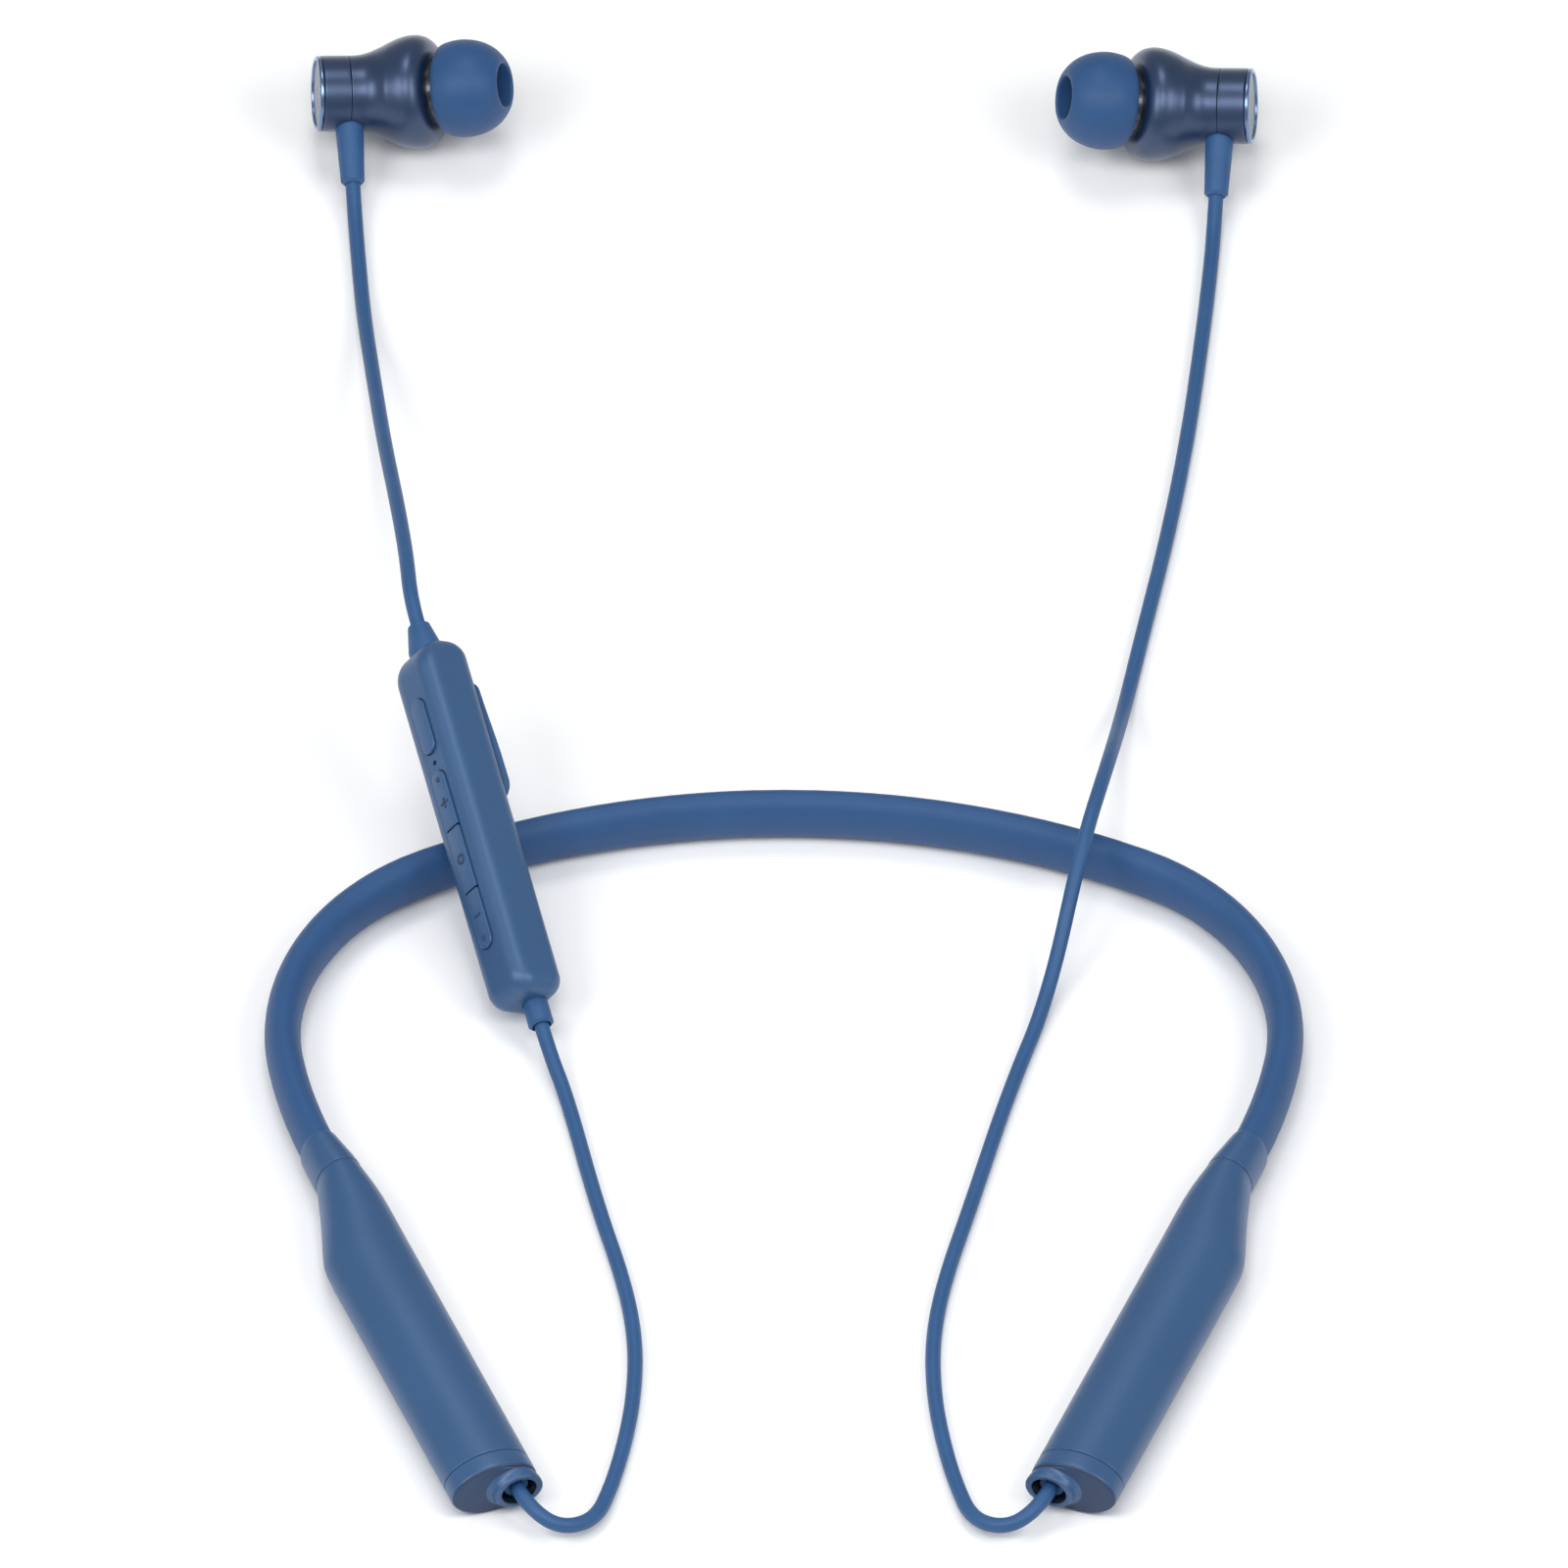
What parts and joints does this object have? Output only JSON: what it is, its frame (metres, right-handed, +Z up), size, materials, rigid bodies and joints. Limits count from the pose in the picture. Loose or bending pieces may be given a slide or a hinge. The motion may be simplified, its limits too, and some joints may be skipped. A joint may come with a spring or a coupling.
{
  "type": "neckband earphones",
  "caption": "Wireless neckband earphones laid flat: flexible band, two battery pods, key remote on one cord, and two in-ear buds with silicone tips.",
  "frame": {"origin": "on the table under the middle of the layout (the cords left out), midway between the two pods", "axes": "+X towards the right pod as seen in front of the pods, +Y from the pods towards the earbuds, +Z up from the table"},
  "size_m": [0.1356, 0.2694, 0.0234],
  "materials": {
    "band_silicone": "matte",
    "pod_shell": "satin",
    "pod_end": "satin",
    "bud_shell": "glossy anodised",
    "bud_plate": "polished rim",
    "nozzle_black": "glossy",
    "steel": "satin",
    "tip_silicone": "matte",
    "relief_rubber": "matte",
    "cord_jacket": "matte",
    "lead_rubber": "matte",
    "circuit_board": "satin",
    "cell_pouch": "satin",
    "black_plastic": "matte",
    "remote_shell": "satin",
    "key_plastic": "satin",
    "flap_rubber": "matte"
  },
  "bodies": {
    "neckband": {"left_back_cap": "bud_plate", "left_battery_cell": "cell_pouch", "left_bud_relief": "relief_rubber", "left_cell_board": "circuit_board", "left_cord_bushing": "relief_rubber", "left_driver": "steel", "left_front_housing": "bud_shell", "left_lower_cord": "cord_jacket", "left_magnet": "steel", "left_nozzle": "nozzle_black", "left_pod_barrel": "pod_shell", "left_pod_cap": "pod_end", "left_pod_collar": "pod_shell", "left_rear_housing": "bud_shell", "left_sound_mesh": "steel", "left_upper_cord": "cord_jacket", "left_wire_anchor": "steel", "link_leads": "lead_rubber", "microphone": "steel", "neckband_sleeve": "band_silicone", "radio_chip": "black_plastic", "remote_board": "circuit_board", "remote_front_cover": "remote_shell", "remote_lower_sleeve": "relief_rubber", "remote_rear_cover": "remote_shell", "remote_upper_relief": "relief_rubber", "right_back_cap": "bud_plate", "right_battery_cell": "cell_pouch", "right_bud_relief": "relief_rubber", "right_cell_board": "circuit_board", "right_cord": "cord_jacket", "right_cord_bushing": "relief_rubber", "right_driver": "steel", "right_front_housing": "bud_shell", "right_magnet": "steel", "right_nozzle": "nozzle_black", "right_pod_barrel": "pod_shell", "right_pod_cap": "pod_end", "right_pod_collar": "pod_shell", "right_rear_housing": "bud_shell", "right_sound_mesh": "steel", "right_wire_anchor": "steel", "spring_wire": "steel", "tact_switches": "black_plastic", "usb_receptacle": "steel"},
    "mode_key_body": {"mode_key": "key_plastic"},
    "plus_key_body": {"plus_key": "key_plastic"},
    "centre_key_body": {"centre_key": "key_plastic"},
    "minus_key_body": {"minus_key": "key_plastic"},
    "port_flap_body": {"port_flap": "flap_rubber"},
    "left_tip_body": {"left_ear_tip": "tip_silicone"},
    "right_tip_body": {"right_ear_tip": "tip_silicone"}
  },
  "joints": [
    {"name": "mode_key_press", "type": "slide", "parent": "neckband", "child": "mode_key_body", "axis": [0.7882, 0.358, -0.5006], "range_m": [0, 0.00025], "stiffness_N_per_m": 2000},
    {"name": "plus_key_press", "type": "slide", "parent": "neckband", "child": "plus_key_body", "axis": [0.7882, 0.358, -0.5006], "range_m": [0, 0.00025], "stiffness_N_per_m": 2000},
    {"name": "centre_key_press", "type": "slide", "parent": "neckband", "child": "centre_key_body", "axis": [0.7882, 0.358, -0.5006], "range_m": [0, 0.00025], "stiffness_N_per_m": 2000},
    {"name": "minus_key_press", "type": "slide", "parent": "neckband", "child": "minus_key_body", "axis": [0.7882, 0.358, -0.5006], "range_m": [0, 0.00025], "stiffness_N_per_m": 2000},
    {"name": "port_flap_hinge", "type": "hinge", "parent": "neckband", "child": "port_flap_body", "pos_m": [-0.04219, 0.00365, 0.01606], "axis": [0.5612, -0.0841, 0.8234], "range_deg": [0, 100]},
    {"name": "left_tip_pull", "type": "slide", "parent": "neckband", "child": "left_tip_body", "axis": [0.9375, -0.1942, 0.2888], "range_m": [0, 0.007]},
    {"name": "right_tip_pull", "type": "slide", "parent": "neckband", "child": "right_tip_body", "axis": [-0.9375, -0.1942, 0.2888], "range_m": [0, 0.007]}
  ]
}
